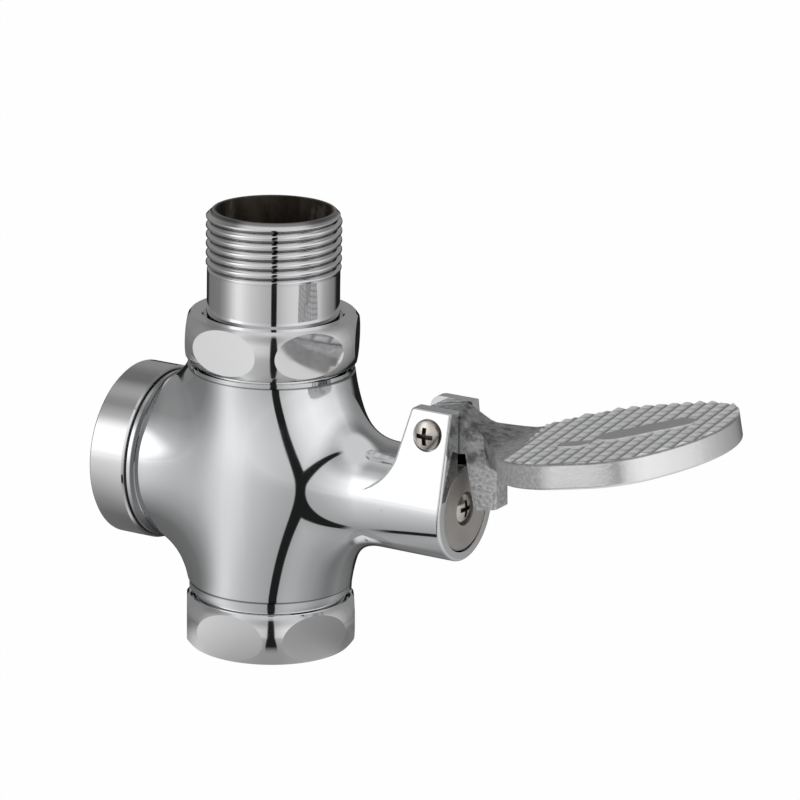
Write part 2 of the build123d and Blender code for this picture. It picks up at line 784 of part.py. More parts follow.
def plate_outline():
    """Plan of the plate: flared neck, round shoulders, straight sides and a bowed front."""
    front_centre = plate_tip - plate_front_radius
    inner = plate_front_radius - plate_corner_radius
    corner_y = plate_half_width - plate_corner_radius
    corner_x = front_centre + sqrt(inner**2 - corner_y**2)
    front_turn = degrees(atan2(corner_y, corner_x - front_centre))
    shoulder_y = plate_half_width - plate_shoulder_radius
    shoulder_stop = 90 + plate_shoulder_turn
    reach = plate_shoulder_radius + plate_flare_radius
    flare_x = plate_shoulder_place + reach * cos(radians(shoulder_stop))
    flare_y = shoulder_y + reach * sin(radians(shoulder_stop))
    flare_start = degrees(asin((plate_neck_half_width - flare_y) / plate_flare_radius))
    neck_x = flare_x + plate_flare_radius * cos(radians(flare_start))
    half = make_face([
        CenterArc((front_centre, 0), plate_front_radius, 0, front_turn),
        CenterArc((corner_x, corner_y), plate_corner_radius, front_turn, 90 - front_turn),
        Line((corner_x, plate_half_width), (plate_shoulder_place, plate_half_width)),
        CenterArc((plate_shoulder_place, shoulder_y), plate_shoulder_radius, 90, plate_shoulder_turn),
        CenterArc((flare_x, flare_y), plate_flare_radius, flare_start, shoulder_stop - 180 - flare_start),
        Polyline([(neck_x, plate_neck_half_width), (tab_rear, plate_neck_half_width), (tab_rear, 0),
                  (plate_tip, 0)]),
    ])
    return half + mirror(half, Plane.XZ)


def tread():
    """Studs left standing between two sets of V grooves, ahead of a slanting line."""
    slab = extrude(plate_outline(), amount=tread_height)
    (x0, y0), (x1, y1) = tread_rear_line
    lean = degrees(atan2(y1 - y0, x1 - x0))
    far = 2 * plate_tip
    behind = Box(far, far, far, align=(Align.CENTER, Align.MIN, Align.CENTER))
    slab -= Pos(x0, y0, 0) * Rot(0, 0, lean) * behind
    cell = abs(tread_row[0] * tread_file[1] - tread_row[1] * tread_file[0])
    over = 1.1
    grooves = []
    for along, step in ((tread_row, tread_file), (tread_file, tread_row)):
        pitch = cell / hypot(*along)
        half = over * (pitch - tread_top_flat) / 2
        height = over * (tread_height - tread_base)
        section = make_face(Polyline(
            [(0, 0, tread_base), (0, half, tread_base + height), (0, -half, tread_base + height)],
            close=True,
        ))
        groove = Pos(-far / 2, 0, 0) * extrude(section, amount=far, dir=(1, 0, 0))
        turn = degrees(atan2(along[1], along[0]))
        count = ceil(plate_tip / pitch)
        for k in range(-count, count):
            x = tread_origin[0] + (k + 0.5) * step[0]
            y = tread_origin[1] + (k + 0.5) * step[1]
            if -1 < x < plate_tip + 1 or abs(y) < plate_half_width:
                grooves.append(Pos(x, y, 0) * Rot(0, 0, turn) * groove)
    return slab - grooves


def pedal_side():
    """Side view of the hub and of the tab that reaches down to the button."""
    heel_z = hub_heel - hub_floor
    return make_face(Polyline([
        (-hub_back, 0, heel_z), (-hub_back, 0, hub_top - hub_heel), (hub_heel - hub_back, 0, hub_top),
        (hub_top_front, 0, hub_top), (ramp_top, 0, ramp_start), (tab_rear + tab_top_thickness, 0, -plate_top),
        (tab_rear + tab_top_thickness + tab_neck, 0, plate_bottom),
        (tab_rear + tab_top_thickness, 0, plate_bottom - tab_neck),
        (tab_rear + tab_foot_thickness, 0, -tab_length), (tab_rear, 0, -tab_length),
        (tab_rear, 0, -hub_floor), (-hub_floor_back, 0, -hub_floor),
    ], close=True))


def pedal():
    """Cast pedal: hub in the slot, tab that reaches down to the button, and treaded plate."""
    slab = Pos(0, 0, plate_bottom) * extrude(plate_outline(), amount=ramp_start - plate_bottom)
    side = make_face(Polyline([
        (tab_rear, 0, plate_bottom), (plate_tip + 1, 0, plate_bottom), (plate_tip + 1, 0, -plate_top),
        (ramp_end, 0, -plate_top), (ramp_top, 0, ramp_start), (tab_rear, 0, ramp_start),
    ], close=True))
    knee = sorted(side.vertices(), key=lambda v: hypot(v.X - ramp_end, v.Z + plate_top))[0]
    side = fillet(knee, ramp_blend_radius)
    plate = slab & extrude(side, amount=plate_half_width + 1, both=True)
    rim = [
        e for e in plate.edges()
        if abs(e.center().Z - plate_bottom) < 0.01 and e.center().X > ramp_end and abs(e.center().Y) > 1
    ]
    plate = fillet(rim, plate_edge_radius)
    hub = extrude(pedal_side(), amount=hub_half_width, both=True)
    for side, radius in ((-1, tab_near_edge), (1, tab_far_edge)):
        corners = [
            e for e in hub.edges()
            if side * e.center().Y > hub_half_width / 2 and e.center().X > tab_rear + tab_foot_thickness
            and -tab_length < e.center().Z < plate_bottom - tab_neck
        ]
        hub = fillet(corners, radius)
    solid = plate + hub
    solid += Pos(0, 0, -plate_top - overlap) * tread()
    pads = (
        (pad_place, pad_length, pad_width, pad_turn),
        (small_pad_place, small_pad_length, small_pad_width, 0),
    )
    for (x, y), length, width, turn in pads:
        pad = extrude(SlotOverall(length, width), amount=pad_height)
        solid += Pos(x, y, -plate_top - overlap) * Rot(0, 0, turn) * pad
    solid -= Rot(-90, 0, 0) * Cylinder(screw_bore_radius, 3 * hub_half_width)
    return Pos(pivot_x, 0, pivot_height) * Rot(0, -pedal_lift, 0) * solid


def inlet_union_nut():
    return union_nut(inlet_nut_top, -1, nipple_plain_radius + loose_gap, inlet_lip_chamfer, inlet_nut_turn)


def outlet_union_nut():
    return union_nut(0, 1, pipe_bore_radius, 0, outlet_nut_turn)


def piston_spring():
    return coil_x(piston_coil_radius, piston_wire, cap_floor, piston_rear, piston_coil_turns)


def relief_spring():
    return coil_x(relief_coil_radius, relief_wire, plug_front, relief_head_rear, relief_coil_turns)


def rod_return_spring():
    return coil_x(return_coil_radius, return_wire, gland_flange_front, button_rear, return_coil_turns)


pieces = [
    valve_body, inlet_union_nut, inlet_nipple, inlet_gasket,
    outlet_union_nut, outlet_slip_ring, outlet_cone_seal,
    rear_cap, rear_cap_seal, piston_spring,
    piston, seat_disc, seat_disc_retainer, piston_cup_seal, cup_retainer_ring,
    relief_valve, relief_seal, relief_spring, relief_spring_plug,
    push_rod, rod_gland, gland_seal, rod_o_rings, rod_return_spring,
    button_disc, button_screw, pivot_screw, pedal,
]

os.makedirs("parts", exist_ok=True)
for piece in pieces:
    export_step(piece(), f"parts/{piece.__name__}.step")
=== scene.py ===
import bpy
import json
import numpy as np
from math import cos, pi, radians, sin
from mathutils import Matrix, Vector


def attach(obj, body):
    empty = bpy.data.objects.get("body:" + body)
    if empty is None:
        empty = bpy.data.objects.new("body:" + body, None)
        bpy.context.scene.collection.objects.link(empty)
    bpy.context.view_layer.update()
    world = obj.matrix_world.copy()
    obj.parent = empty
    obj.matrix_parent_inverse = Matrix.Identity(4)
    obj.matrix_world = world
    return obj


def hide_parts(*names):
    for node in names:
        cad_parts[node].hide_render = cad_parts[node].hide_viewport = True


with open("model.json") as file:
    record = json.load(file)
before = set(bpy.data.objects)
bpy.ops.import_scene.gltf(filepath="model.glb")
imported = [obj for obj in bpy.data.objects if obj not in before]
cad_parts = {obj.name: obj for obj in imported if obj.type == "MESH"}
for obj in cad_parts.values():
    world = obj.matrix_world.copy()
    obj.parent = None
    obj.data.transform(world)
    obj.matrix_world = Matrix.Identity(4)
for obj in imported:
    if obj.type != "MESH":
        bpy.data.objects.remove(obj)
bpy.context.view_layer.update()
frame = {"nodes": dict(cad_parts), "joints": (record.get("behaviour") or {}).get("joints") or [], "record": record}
nodes = frame["nodes"]
mm = 0.001

# Camera of the photograph, as degrees, millimetres and pixels
camera_azimuth = 30.62     # from -Y towards +X
camera_rise = 16.09
camera_roll = 1.04
camera_distance = 1100.0
camera_aim_height = 55.0
camera_shift = (-31.36, -7.13)
camera_focal_pixels = 4466.22
photo_pixels = 800
sensor_width = 36.0

# Inlet thread, in millimetres: a G1 screw with rounded crests
thread_pitch = 2.309
thread_crest = 16.62
thread_root = 15.2
thread_start = 94.4
thread_lead = 0.3          # plain stretch before the groove
thread_runout = 1.6        # over which the groove gets deep
thread_roundness = 2.2     # power that rounds the crests
thread_root_darkening = (15.95, 15.45)   # the darkening in the roots begins at the first radius and is full at the second
nipple_foot = 79.6
nipple_top = 110.1
nipple_flange = 82.0
nipple_flange_radius = 18.6
nipple_plain_radius = 16.3
nipple_bore = 14.15
nipple_rim = 0.9           # width of the flat rim on top
bare_bore = (14.75, 14.45)      # the chrome ends at the first radius, and at the second all is bare
nipple_edge = 0.12         # rounding of its turned edges
rounding_middle = 0.29     # how far a rounding's middle lies in from the corner, in roundings
support_reach = 1.3        # of the support points beside a rounded edge, in roundings

# Cast skin of the body, in millimetres
push_axis = 43.6
barrel_radius = 20.0
barrel_foot = 15.78
barrel_top = 70.22
tube_radius = 19.2
tube_rear = -28.02
dome_start = 5.4
dome_radius = 30.4
horn_radius = 13.0
horn_behind = 5.0          # behind the barrel's axis the horn stays this far away
skin_centre = 4.0          # along the push axis; the skin is seen whole from there
skin_reach = (5.0, 75.0)   # its distance from that centre lies between these
skin_polar = (17, 152)     # degrees from +X between which it is worked out
skin_front = 40.0
skin_lift = 0.02           # the skin lies this far over the cast body
lift_end = 28.0            # from here to skin_front it sinks by skin_sink lifts, just under the solid
skin_sink = 1.5
front_blend = 21.0         # width of the run of barrel into dome, where they meet squarely
rear_blend = 18.0          # the same for barrel and rear tube
blend_change = (-12.0, 8.0)     # along X, from rear_blend to front_blend
least_blend = 0.4          # share of the width that is left where both face the same way
horn_blend = 3.0           # of the horn's run into both, which grows by horn_blend_growth at its sides
horn_blend_growth = 13.0
horn_blend_power = 1.5
shoulder_radius = 19.0     # the rim's shoulder reaches in to here, under the turned beads

# Pedal, in millimetres; the stud heights are square to the plate, over the hinge's axis
pedal_rise = 11.6          # of the plate towards its tip, in degrees
pedal_hinge = next(joint for joint in frame["joints"] if joint["name"] == "pedal_hinge")
pedal_pivot = Vector(pedal_hinge["pos_m"])
stud_foot = -3.65
stud_top = -2.87           # the two blank pads stand a little higher
tread_rear = 23.8          # of the tread's slanting rear line ahead of the pivot, along the plate
tread_slant = 0.245
side_start = (64.0, 70.0)  # along X, where the plate's linished side begins
side_highlight = (90.0, 96.0)    # and where a painted highlight lies on it
hub_foot = 56.0            # the hub is dark and blotched down to here
hub_front = 69.0           # and out to here

# Screw heads, seams and turned faces, in millimetres
cross_half_width = 0.56
cross_reach = 2.2
head_seat = -8.2           # the pivot screw's head lies past this, on the near ear
head_radius = 3.5
seams = (15.8, 70.2)       # of the body's turned beads, along Z
button_edge = 10.1
button_turning = 9000.0    # turning marks on the disc, in radians per metre
cap_face = -29.65          # of the rear cap towards the body, along X

# Studio, in metres
floor_half_size = 30.0
floor_white = 0.985        # share of plain white in what the camera sees of the floor
lens_black = (0.015, 0.015, 0.015)
horn_middle = 0.045        # along X; the horn's shade on the floor lies round it
horn_shade = (0.005, 0.045)     # the shade is full to the first distance and ends at the second


class Field:
    """A socket of a shader, so that masks and heights are written as sums."""

    def __init__(self, tree, socket):
        self.tree = tree
        self.socket = socket

    def node(self, kind, settings, links, output=0):
        """Adds a shader node: its settings come first, then the values or links of its sockets."""
        node = self.tree.nodes.new("ShaderNode" + kind)
        for name, value in settings.items():
            if name == "stops":
                set_stops(node.color_ramp, value)
            else:
                setattr(node, name, value)
        for name, value in links.items():
            if isinstance(value, Field):
                self.tree.links.new(value.socket, node.inputs[name])
            else:
                node.inputs[name].default_value = value
        return Field(self.tree, node.outputs[output])

    def math(self, operation, *values):
        """A Math node on those values."""
        return self.node("Math", {"operation": operation}, dict(enumerate(values)))

    def __add__(self, other):
        return self.math("ADD", self, other)

    __radd__ = __add__

    def __sub__(self, other):
        return self.math("SUBTRACT", self, other)

    def __rsub__(self, other):
        return self.math("SUBTRACT", other, self)

    def __mul__(self, other):
        return self.math("MULTIPLY", self, other)

    __rmul__ = __mul__

    def __truediv__(self, other):
        return self.math("DIVIDE", self, other)

    def __neg__(self):
        return self.math("MULTIPLY", self, -1)

    def __abs__(self):
        return self.math("ABSOLUTE", self)

    def ramp(self, low, high):
        """0 below low and 1 above high, or the other way round, with a smooth step between."""
        limits = {"Value": self, "From Min": low, "From Max": high}
        return self.node("MapRange", {"interpolation_type": "SMOOTHSTEP"}, limits)

    def stops(self, *stops):
        """A grey that follows the value through (place, grey) stops."""
        return self.node("ValToRGB", {"stops": stops}, {0: self})

    def noise(self, scale, detail=2.0, roughness=0.5, stretch=None):
        """Noise over a place, in features per metre; stretch has one factor on that number for each axis."""
        place = self
        if stretch:
            place = self.node("VectorMath", {"operation": "MULTIPLY"}, {0: self, 1: stretch})
        links = {"Vector": place, "Scale": scale, "Detail": detail, "Roughness": roughness}
        return place.node("TexNoise", {}, links)

    def cells(self, scale):
        """Distance to the nearest point of a random lattice."""
        return self.node("TexVoronoi", {}, {"Vector": self, "Scale": scale})

    def part(self, axis):
        """One coordinate of a place."""
        return self.node("SeparateXYZ", {}, {0: self}, "XYZ".index(axis))


def set_stops(color_ramp, stops):
    """Places the stops of a ramp; each is (place, grey)."""
    while len(color_ramp.elements) > 1:
        color_ramp.elements.remove(color_ramp.elements[-1])
    for k, (place, grey) in enumerate(stops):
        element = color_ramp.elements[0] if k == 0 else color_ramp.elements.new(place)
        element.position = place
        element.color = (grey, grey, grey, 1)


def mix(mask, first, second):
    """A colour that goes from the first to the second with the mask."""
    pair = {}
    for socket, colour in ((6, first), (7, second)):
        pair[socket] = colour if isinstance(colour, Field) else (*colour, 1)
    return mask.node("Mix", {"data_type": "RGBA"}, {0: mask, **pair}, 2)


def bump(height, distance, under=None):
    """A bump whose height field is worth that distance in metres, over another bump if there is one."""
    links = {"Height": height, "Distance": distance, "Strength": 1.0}
    if under:
        links["Normal"] = under
    return height.node("Bump", {}, links)


def finish(name, paint):
    """A material whose surface is what paint returns: values or fields for the shader's sockets."""
    material = bpy.data.materials.new(name)
    material.use_nodes = True
    tree = material.node_tree
    shader = tree.nodes["Principled BSDF"]
    place = Field(tree, tree.nodes.new("ShaderNodeTexCoord").outputs["Object"])
    for socket, value in paint(place).items():
        if isinstance(value, Field):
            tree.links.new(value.socket, shader.inputs[socket])
        else:
            shader.inputs[socket].default_value = value
    return material


def chrome(tint, wave, wave_scale):
    """Chrome plate over a ground with slow waves, with faint haze, darker patches and a few dull specks."""
    def paint(place):
        haze = place.noise(90, 4).ramp(0.35, 0.75)
        specks = place.cells(420).ramp(0.08, 0.03) * place.noise(160, 1).ramp(0.64, 0.72)
        grime = place.noise(38, 5, 0.65).ramp(0.58, 0.8)
        colour = mix(grime, tint, tuple(0.93 * c for c in tint))
        relief = bump(place.noise(wave_scale, 1.5, 0.4), wave * mm)
        return {
            "Base Color": colour, "Metallic": 1.0, "Normal": relief,
            "Roughness": 0.035 + 0.05 * haze + 0.12 * specks,
        }
    return paint


def apart(first, second):
    """Distance in a plane, from its two parts."""
    square = first * first + second * second
    return square.math("POWER", square, 0.5)


def chrome_body(place):
    """Chrome over the casting.

    Grime and painted shade lie in the beads' seams, a painted shadow rings the pivot screw's head, and the rear
    collar's face is dull, with painted shade.
    """
    surface = chrome((0.80, 0.81, 0.82), 0.05, 70)(place)
    # Grime and painted shade: darker lines along the beads' seams
    seam = sum(abs(place.part("Z") - height * mm).ramp(0.32 * mm, 0.1 * mm) for height in seams)
    # Painted shadow: a dark ring round the pivot screw's head, where it sits on the near ear
    round_head = apart(place.part("X") - pedal_pivot.x, place.part("Z") - pedal_pivot.z)
    ring = round_head.ramp((head_radius + 0.55) * mm, (head_radius + 0.1) * mm)
    ring = ring * place.part("Y").ramp((head_seat + 0.3) * mm, head_seat * mm)
    # Painted shade: the rear collar's face, in the gap by the cap, is darkened as well as made rougher
    off = apart(place.part("Y"), place.part("Z") - push_axis * mm)
    collar = off.ramp((tube_radius + 0.1) * mm, (tube_radius + 0.3) * mm)
    collar = collar * abs(place.part("X") - tube_rear * mm).ramp(0.3 * mm, 0.1 * mm)
    surface["Base Color"] = mix(seam * 0.7, surface["Base Color"], (0.1, 0.1, 0.1))
    surface["Base Color"] = mix(ring * 0.85, surface["Base Color"], (0.05, 0.045, 0.04))
    surface["Base Color"] = mix(collar * 0.7, surface["Base Color"], (0.16, 0.16, 0.16))
    surface["Roughness"] = surface["Roughness"] + 0.3 * collar
    return surface


def chrome_cap(place):
    """Chrome outside; the face that turns towards the body is dull, and darkened with painted shade."""
    surface = chrome((0.80, 0.80, 0.81), 0.01, 90)(place)
    # Painted shade on the face towards the body, in the gap between cap and collar; it is rougher too
    face = place.part("X").ramp((cap_face - 0.2) * mm, (cap_face - 0.05) * mm)
    surface["Base Color"] = mix(face * 0.6, surface["Base Color"], (0.2, 0.2, 0.2))
    surface["Roughness"] = surface["Roughness"] + 0.3 * face
    return surface


def chrome_nipple(place):
    """Chrome outside, darker in the thread's roots; inside, the bare bore is dark, rough and stained by water."""
    surface = chrome((0.81, 0.81, 0.82), 0.008, 120)(place)
    radius = apart(place.part("X"), place.part("Y"))
    # Darker in the thread's roots
    groove = radius.ramp(thread_root_darkening[0] * mm, thread_root_darkening[1] * mm)
    groove = groove * place.part("Z").ramp(thread_start * mm, (thread_start + 1) * mm)
    surface["Base Color"] = mix(groove * 0.8, surface["Base Color"], (0.12, 0.12, 0.12))
    inside = radius.ramp(bare_bore[0] * mm, bare_bore[1] * mm)
    stain = place.noise(140, 5, 0.65, (1, 1, 0.4))
    limescale = place.noise(75, 4, 0.6, (1, 1, 0.6)).ramp(0.56, 0.68)
    bare = mix(stain.ramp(0.35, 0.7), (0.055, 0.043, 0.034), (0.14, 0.118, 0.096))
    bare = mix(limescale, bare, (0.30, 0.285, 0.265))
    surface["Base Color"] = mix(inside, surface["Base Color"], bare)
    surface["Roughness"] = surface["Roughness"] * (1 - inside) + inside * (0.42 + 0.25 * stain)
    return surface


def bare_brass(place):
    """Machined brass with fine tool lines and dull patches."""
    dull = place.noise(120, 5, 0.6)
    lines = place.noise(900, 2, 0.5, (6, 0.6, 0.6))
    colour = mix(dull.ramp(0.3, 0.7), (0.62, 0.43, 0.18), (0.45, 0.30, 0.13))
    return {
        "Base Color": colour, "Metallic": 1.0, "Roughness": 0.28 + 0.2 * dull,
        "Normal": bump(lines, 0.01 * mm),
    }


def steel(first, second, rough):
    """Bright steel with a little tint, fine scratches and soft stains."""
    def paint(place):
        stains = place.noise(260, 4, 0.6)
        lines = place.noise(2200, 2, 0.5, (1, 8, 1))
        return {
            "Base Color": mix(stains.ramp(0.35, 0.7), first, second), "Metallic": 1.0,
            "Roughness": rough + 0.12 * stains, "Normal": bump(lines, 0.006 * mm),
        }
    return paint


def cross_recess(first, second):
    """Mask of a screw's cross recess, from the two coordinates over its middle."""
    first = abs(first)
    second = abs(second)
    slim = first.math("MINIMUM", first, second)
    long = first.math("MAXIMUM", first, second)
    inside = slim.ramp((cross_half_width + 0.06) * mm, (cross_half_width - 0.03) * mm)
    return inside * long.ramp((cross_reach + 0.08) * mm, (cross_reach - 0.04) * mm)


def screw_steel(place):
    """Warm bright screws with painted shade in the cross recess, one across and one along the push axis."""
    surface = steel((0.74, 0.69, 0.65), (0.58, 0.53, 0.49), 0.14)(place)
    across = place.part("Y").ramp((head_seat + 0.1) * mm, head_seat * mm)
    pivot = cross_recess(place.part("X") - pedal_pivot.x, place.part("Z") - pedal_pivot.z) * across
    button = cross_recess(place.part("Y"), place.part("Z") - push_axis * mm) * (1 - across)
    # Painted shade: the cross recesses are darkened, and rougher
    recess = pivot.math("MAXIMUM", pivot, button)
    surface["Base Color"] = mix(recess * 0.92, surface["Base Color"], (0.07, 0.05, 0.035))
    surface["Roughness"] = surface["Roughness"] + 0.3 * recess
    return surface


def button_metal(place):
    """Warm grey turned metal, matte and slightly stained, with a painted highlight on its smoother edge."""
    stains = place.noise(150, 4, 0.6)
    radius = apart(place.part("Y"), place.part("Z") - push_axis * mm)
    rings = radius.math("SINE", radius * button_turning)
    # Painted highlight: the disc's edge is much lighter, and smoother
    edge = radius.ramp(button_edge * mm, (button_edge + 0.25) * mm)
    colour = mix(stains.ramp(0.3, 0.75), (0.50, 0.475, 0.455), (0.43, 0.41, 0.39))
    return {
        "Base Color": mix(edge, colour, (0.88, 0.86, 0.83)),
        "Metallic": 0.75, "Roughness": 0.46 + 0.1 * stains - 0.2 * edge,
        "Normal": bump(place.noise(2500, 3, 0.6) + 0.4 * rings, 0.01 * mm),
    }


def cast_pedal(place):
    """Matte plated casting.

    The tread's studs are light, partly from rubbing and partly as a painted highlight, over a dull plate darkened
    by painted shade between them; the hub is dark and blotched, and the plate's side is linished, with a painted
    highlight at the tip.
    """
    slope = radians(pedal_rise)
    normal = Vector((-sin(slope), 0, cos(slope)))
    level = place.node("VectorMath", {"operation": "DOT_PRODUCT"}, {0: place, 1: normal}, 1)
    level = level - normal.dot(pedal_pivot)
    along = place.part("X")
    reach = (along - pedal_pivot.x) * cos(slope) + (place.part("Z") - pedal_pivot.z) * sin(slope)
    tread = (reach + tread_slant * place.part("Y")).ramp((tread_rear - 0.4) * mm, tread_rear * mm)
    pad = level.ramp((stud_top + 0.02) * mm, (stud_top + 0.07) * mm) * tread
    stud = level.ramp((stud_foot + 0.05) * mm, (stud_foot + 0.5) * mm) * (tread - pad)
    plate = level.ramp((stud_foot - 0.12) * mm, (stud_foot + 0.02) * mm) * (tread - pad)
    side = level.ramp((stud_foot - 0.12) * mm, (stud_foot - 0.3) * mm)
    side = side * along.ramp(side_start[0] * mm, side_start[1] * mm)
    # Painted highlight along the side towards the tip, which is also smoother
    tip = side * along.ramp(side_highlight[0] * mm, side_highlight[1] * mm)
    hub = place.part("Z").ramp((hub_foot - 1) * mm, (hub_foot + 1.5) * mm)
    hub = hub * along.ramp((hub_front + 4) * mm, (hub_front - 4) * mm)
    grain = place.noise(1000, 5, 0.7)
    lumps = place.noise(380, 3, 0.6)
    pits = place.cells(800).ramp(0.16, 0.05) * place.noise(240, 2).ramp(0.5, 0.62)
    scuffs = place.noise(420, 3, 0.6, (0.5, 1, 1)).ramp(0.45, 0.7)
    cast = mix(grain.ramp(0.35, 0.65), (0.40, 0.40, 0.405), (0.70, 0.70, 0.705))
    linished = mix(grain.ramp(0.35, 0.65), (0.44, 0.44, 0.445), (0.62, 0.62, 0.625))
    blotched = mix(lumps.ramp(0.35, 0.65), (0.09, 0.09, 0.092), (0.42, 0.42, 0.425))
    colour = mix(side, cast, linished)
    # Painted highlight: near white at the tip
    colour = mix(tip, colour, (0.93, 0.93, 0.935))
    colour = mix(hub * 0.85, colour, blotched)
    # Painted shade: the plate between the studs is darker
    colour = mix(plate * (1 - stud) * 0.8, colour, (0.22, 0.22, 0.228))
    # Rubbed wear and painted highlight: the studs are much lighter
    colour = mix(stud * (0.85 + 0.15 * scuffs), colour, (0.96, 0.96, 0.97))
    colour = mix(pad * 0.85, colour, (0.45, 0.45, 0.455))
    colour = mix(pits * 0.6, colour, (0.08, 0.08, 0.08))
    relief = bump(lumps * (1 - 0.8 * side), 0.35 * mm)
    relief = bump((grain - 0.8 * pits) * (1 - 0.3 * side - 0.5 * tip), 0.16 * mm, relief)
    return {
        "Base Color": colour, "Metallic": 0.8 - 0.3 * plate - 0.35 * stud - 0.5 * pad,
        "Roughness": 0.44 - 0.14 * stud - 0.22 * tip, "Normal": relief,
    }


def black_rubber(place):
    """Moulded rubber with dust in its fine grain."""
    dust = place.noise(300, 4, 0.7)
    return {
        "Base Color": mix(dust.ramp(0.5, 0.8), (0.025, 0.025, 0.026), (0.07, 0.07, 0.07)),
        "Roughness": 0.6 + 0.2 * dust, "Normal": bump(place.noise(1400, 3), 0.02 * mm),
    }


paints = {
    "chrome_body": chrome_body,
    "chrome_nut": chrome((0.81, 0.81, 0.82), 0.015, 120),
    "chrome_nipple": chrome_nipple,
    "chrome_cap": chrome_cap,
    "bare_brass": bare_brass,
    "stainless": steel((0.58, 0.57, 0.56), (0.50, 0.49, 0.48), 0.2),
    "spring_steel": steel((0.48, 0.48, 0.48), (0.38, 0.37, 0.36), 0.25),
    "screw_steel": screw_steel,
    "button_metal": button_metal,
    "cast_pedal": cast_pedal,
    "black_rubber": black_rubber,
}
finishes = {slot: finish(slot, paint) for slot, paint in paints.items()}


def dress_nodes():
    """Gives each CAD node the finish of its slot in the record."""
    for entry in frame["record"]["subparts"]:
        mesh = nodes[entry["node"]].data
        mesh.materials.clear()
        mesh.materials.append(finishes[entry["material_slot"]])


def softened(corners, edge):
    """Each corner of a closed profile as a small round with a close support point on both sides."""
    rounds = []
    for k, corner in enumerate(corners):
        here = np.array(corner, float)
        back = np.array(corners[k - 1], float) - here
        ahead = np.array(corners[(k + 1) % len(corners)], float) - here
        back *= edge / np.linalg.norm(back)
        ahead *= edge / np.linalg.norm(ahead)
        middle = here + rounding_middle * (back + ahead)
        before = here + support_reach * back
        after = here + support_reach * ahead
        rounds.append([before, here + back, middle, here + ahead, after])
    return rounds


def build_nipple():
    """Inlet nipple as one turned surface over (step along the profile, angle a).

    In the thread, r = root + (crest - root) (1 - |2u - 1|^roundness), with u the fraction of a turn in
    (z - start) / pitch - a / 2 pi, faded into the plain tail below and cut by a 45 degree chamfer on top.
    """
    columns = 240
    pitch_steps = 18
    rim_radius = nipple_bore + nipple_rim
    rounds = softened([
        (nipple_bore, nipple_foot), (nipple_flange_radius, nipple_foot),
        (nipple_flange_radius, nipple_flange), (nipple_plain_radius, nipple_flange),
        (nipple_plain_radius, thread_start), (thread_crest, nipple_top + rim_radius - thread_crest),
        (rim_radius, nipple_top), (nipple_bore, nipple_top),
    ], nipple_edge)
    lower = [point for group in rounds[:4] for point in group]
    rim = rounds[6] + rounds[7]
    steps = np.arange(thread_start, nipple_top - support_reach * nipple_edge, thread_pitch / pitch_steps)
    angle = np.linspace(0, 2 * pi, columns, endpoint=False)
    turn = ((steps[:, None] - thread_start) / thread_pitch - angle / (2 * pi)) % 1.0
    depth = np.clip((steps[:, None] - thread_start - thread_lead) / thread_runout, 0, 1)
    depth = depth * depth * (3 - 2 * depth)
    screw = thread_root + (thread_crest - thread_root) * (1 - np.abs(2 * turn - 1) ** thread_roundness)
    radius = (1 - depth) * nipple_plain_radius + depth * screw
    radius = np.minimum(radius, rim_radius + nipple_top - steps[:, None])
    rows = [np.full((1, columns), point[0]) for point in lower] + [radius]
    rows += [np.full((1, columns), point[0]) for point in rim]
    radii = np.concatenate(rows)
    heights = [point[1] for point in lower] + list(steps) + [point[1] for point in rim]
    heights = np.repeat(np.array(heights)[:, None], columns, 1)
    points = np.stack([radii * np.cos(angle), radii * np.sin(angle), heights], -1).reshape(-1, 3) * mm
    count = len(heights)
    row, column = np.meshgrid(np.arange(count), np.arange(columns), indexing="ij")
    next_row = (row + 1) % count
    next_column = (column + 1) % columns
    quads = np.stack([
        row * columns + column, row * columns + next_column,
        next_row * columns + next_column, next_row * columns + column,
    ], -1).reshape(-1, 4)
    mesh = bpy.data.meshes.new("threaded_nipple")
    mesh.from_pydata(points.tolist(), [], quads.tolist())
    mesh.polygons.foreach_set("use_smooth", np.ones(len(quads), bool))
    mesh.materials.append(finishes["chrome_nipple"])
    nipple = bpy.data.objects.new("threaded_nipple", mesh)
    bpy.context.scene.collection.objects.link(nipple)
    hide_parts("inlet_nipple")
    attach(nipple, "housing")


def smooth_share(value, low, high):
    """0 below low and 1 above high, with a smooth step between."""
    share = np.clip((value - low) / (high - low), 0, 1)
    return share * share * (3 - 2 * share)


def run_together(first, second, width):
    """Smooth least of two distances: min(a, b) - w h^2 / 4, with h = max(1 - |a - b| / w, 0)."""
    overlap = np.clip(1 - np.abs(first - second) / width, 0, 1)
    return np.minimum(first, second) - overlap**2 * width / 4


def skin_distance(point):
    """How far points lie outside the cast skin: barrel, domed rear tube and horn, run together.

    A run is wide where the two surfaces meet squarely, and narrow where they face the same way.
    """
    x = point[..., 0]
    y = point[..., 1]
    out = np.maximum(np.hypot(x, y), 1e-6)
    off = np.maximum(np.hypot(y, point[..., 2] - push_axis), 1e-6)
    barrel = out - barrel_radius
    from_centre = np.hypot(x - dome_start, off + dome_radius - tube_radius)
    ahead = x > dome_start
    tube = np.where(ahead, from_centre - dome_radius, off - tube_radius)
    along = np.where(ahead, (x - dome_start) / from_centre, 0)
    across = np.where(ahead, (off + dome_radius - tube_radius) / from_centre, 1)
    facing = np.clip((x * along + y * y * across / off) / out, 0, 1)
    width = rear_blend + (front_blend - rear_blend) * smooth_share(x, *blend_change)
    width = width * (least_blend + (1 - least_blend) * (1 - facing))
    shell = run_together(barrel, tube, width)
    share = np.clip(0.5 + (tube - barrel) / (2 * width), 0, 1)
    horn_facing = np.clip(share * y * y / (out * off) + (1 - share) * across, 0, 1)
    horn = off - horn_radius
    horn = np.where(x > 0, horn, np.maximum(horn, horn_behind))
    width = horn_blend + horn_blend_growth * (1 - horn_facing) ** horn_blend_power
    shell = run_together(shell, horn, width)
    return shell - skin_lift + skin_sink * skin_lift * smooth_share(x, lift_end, skin_front)


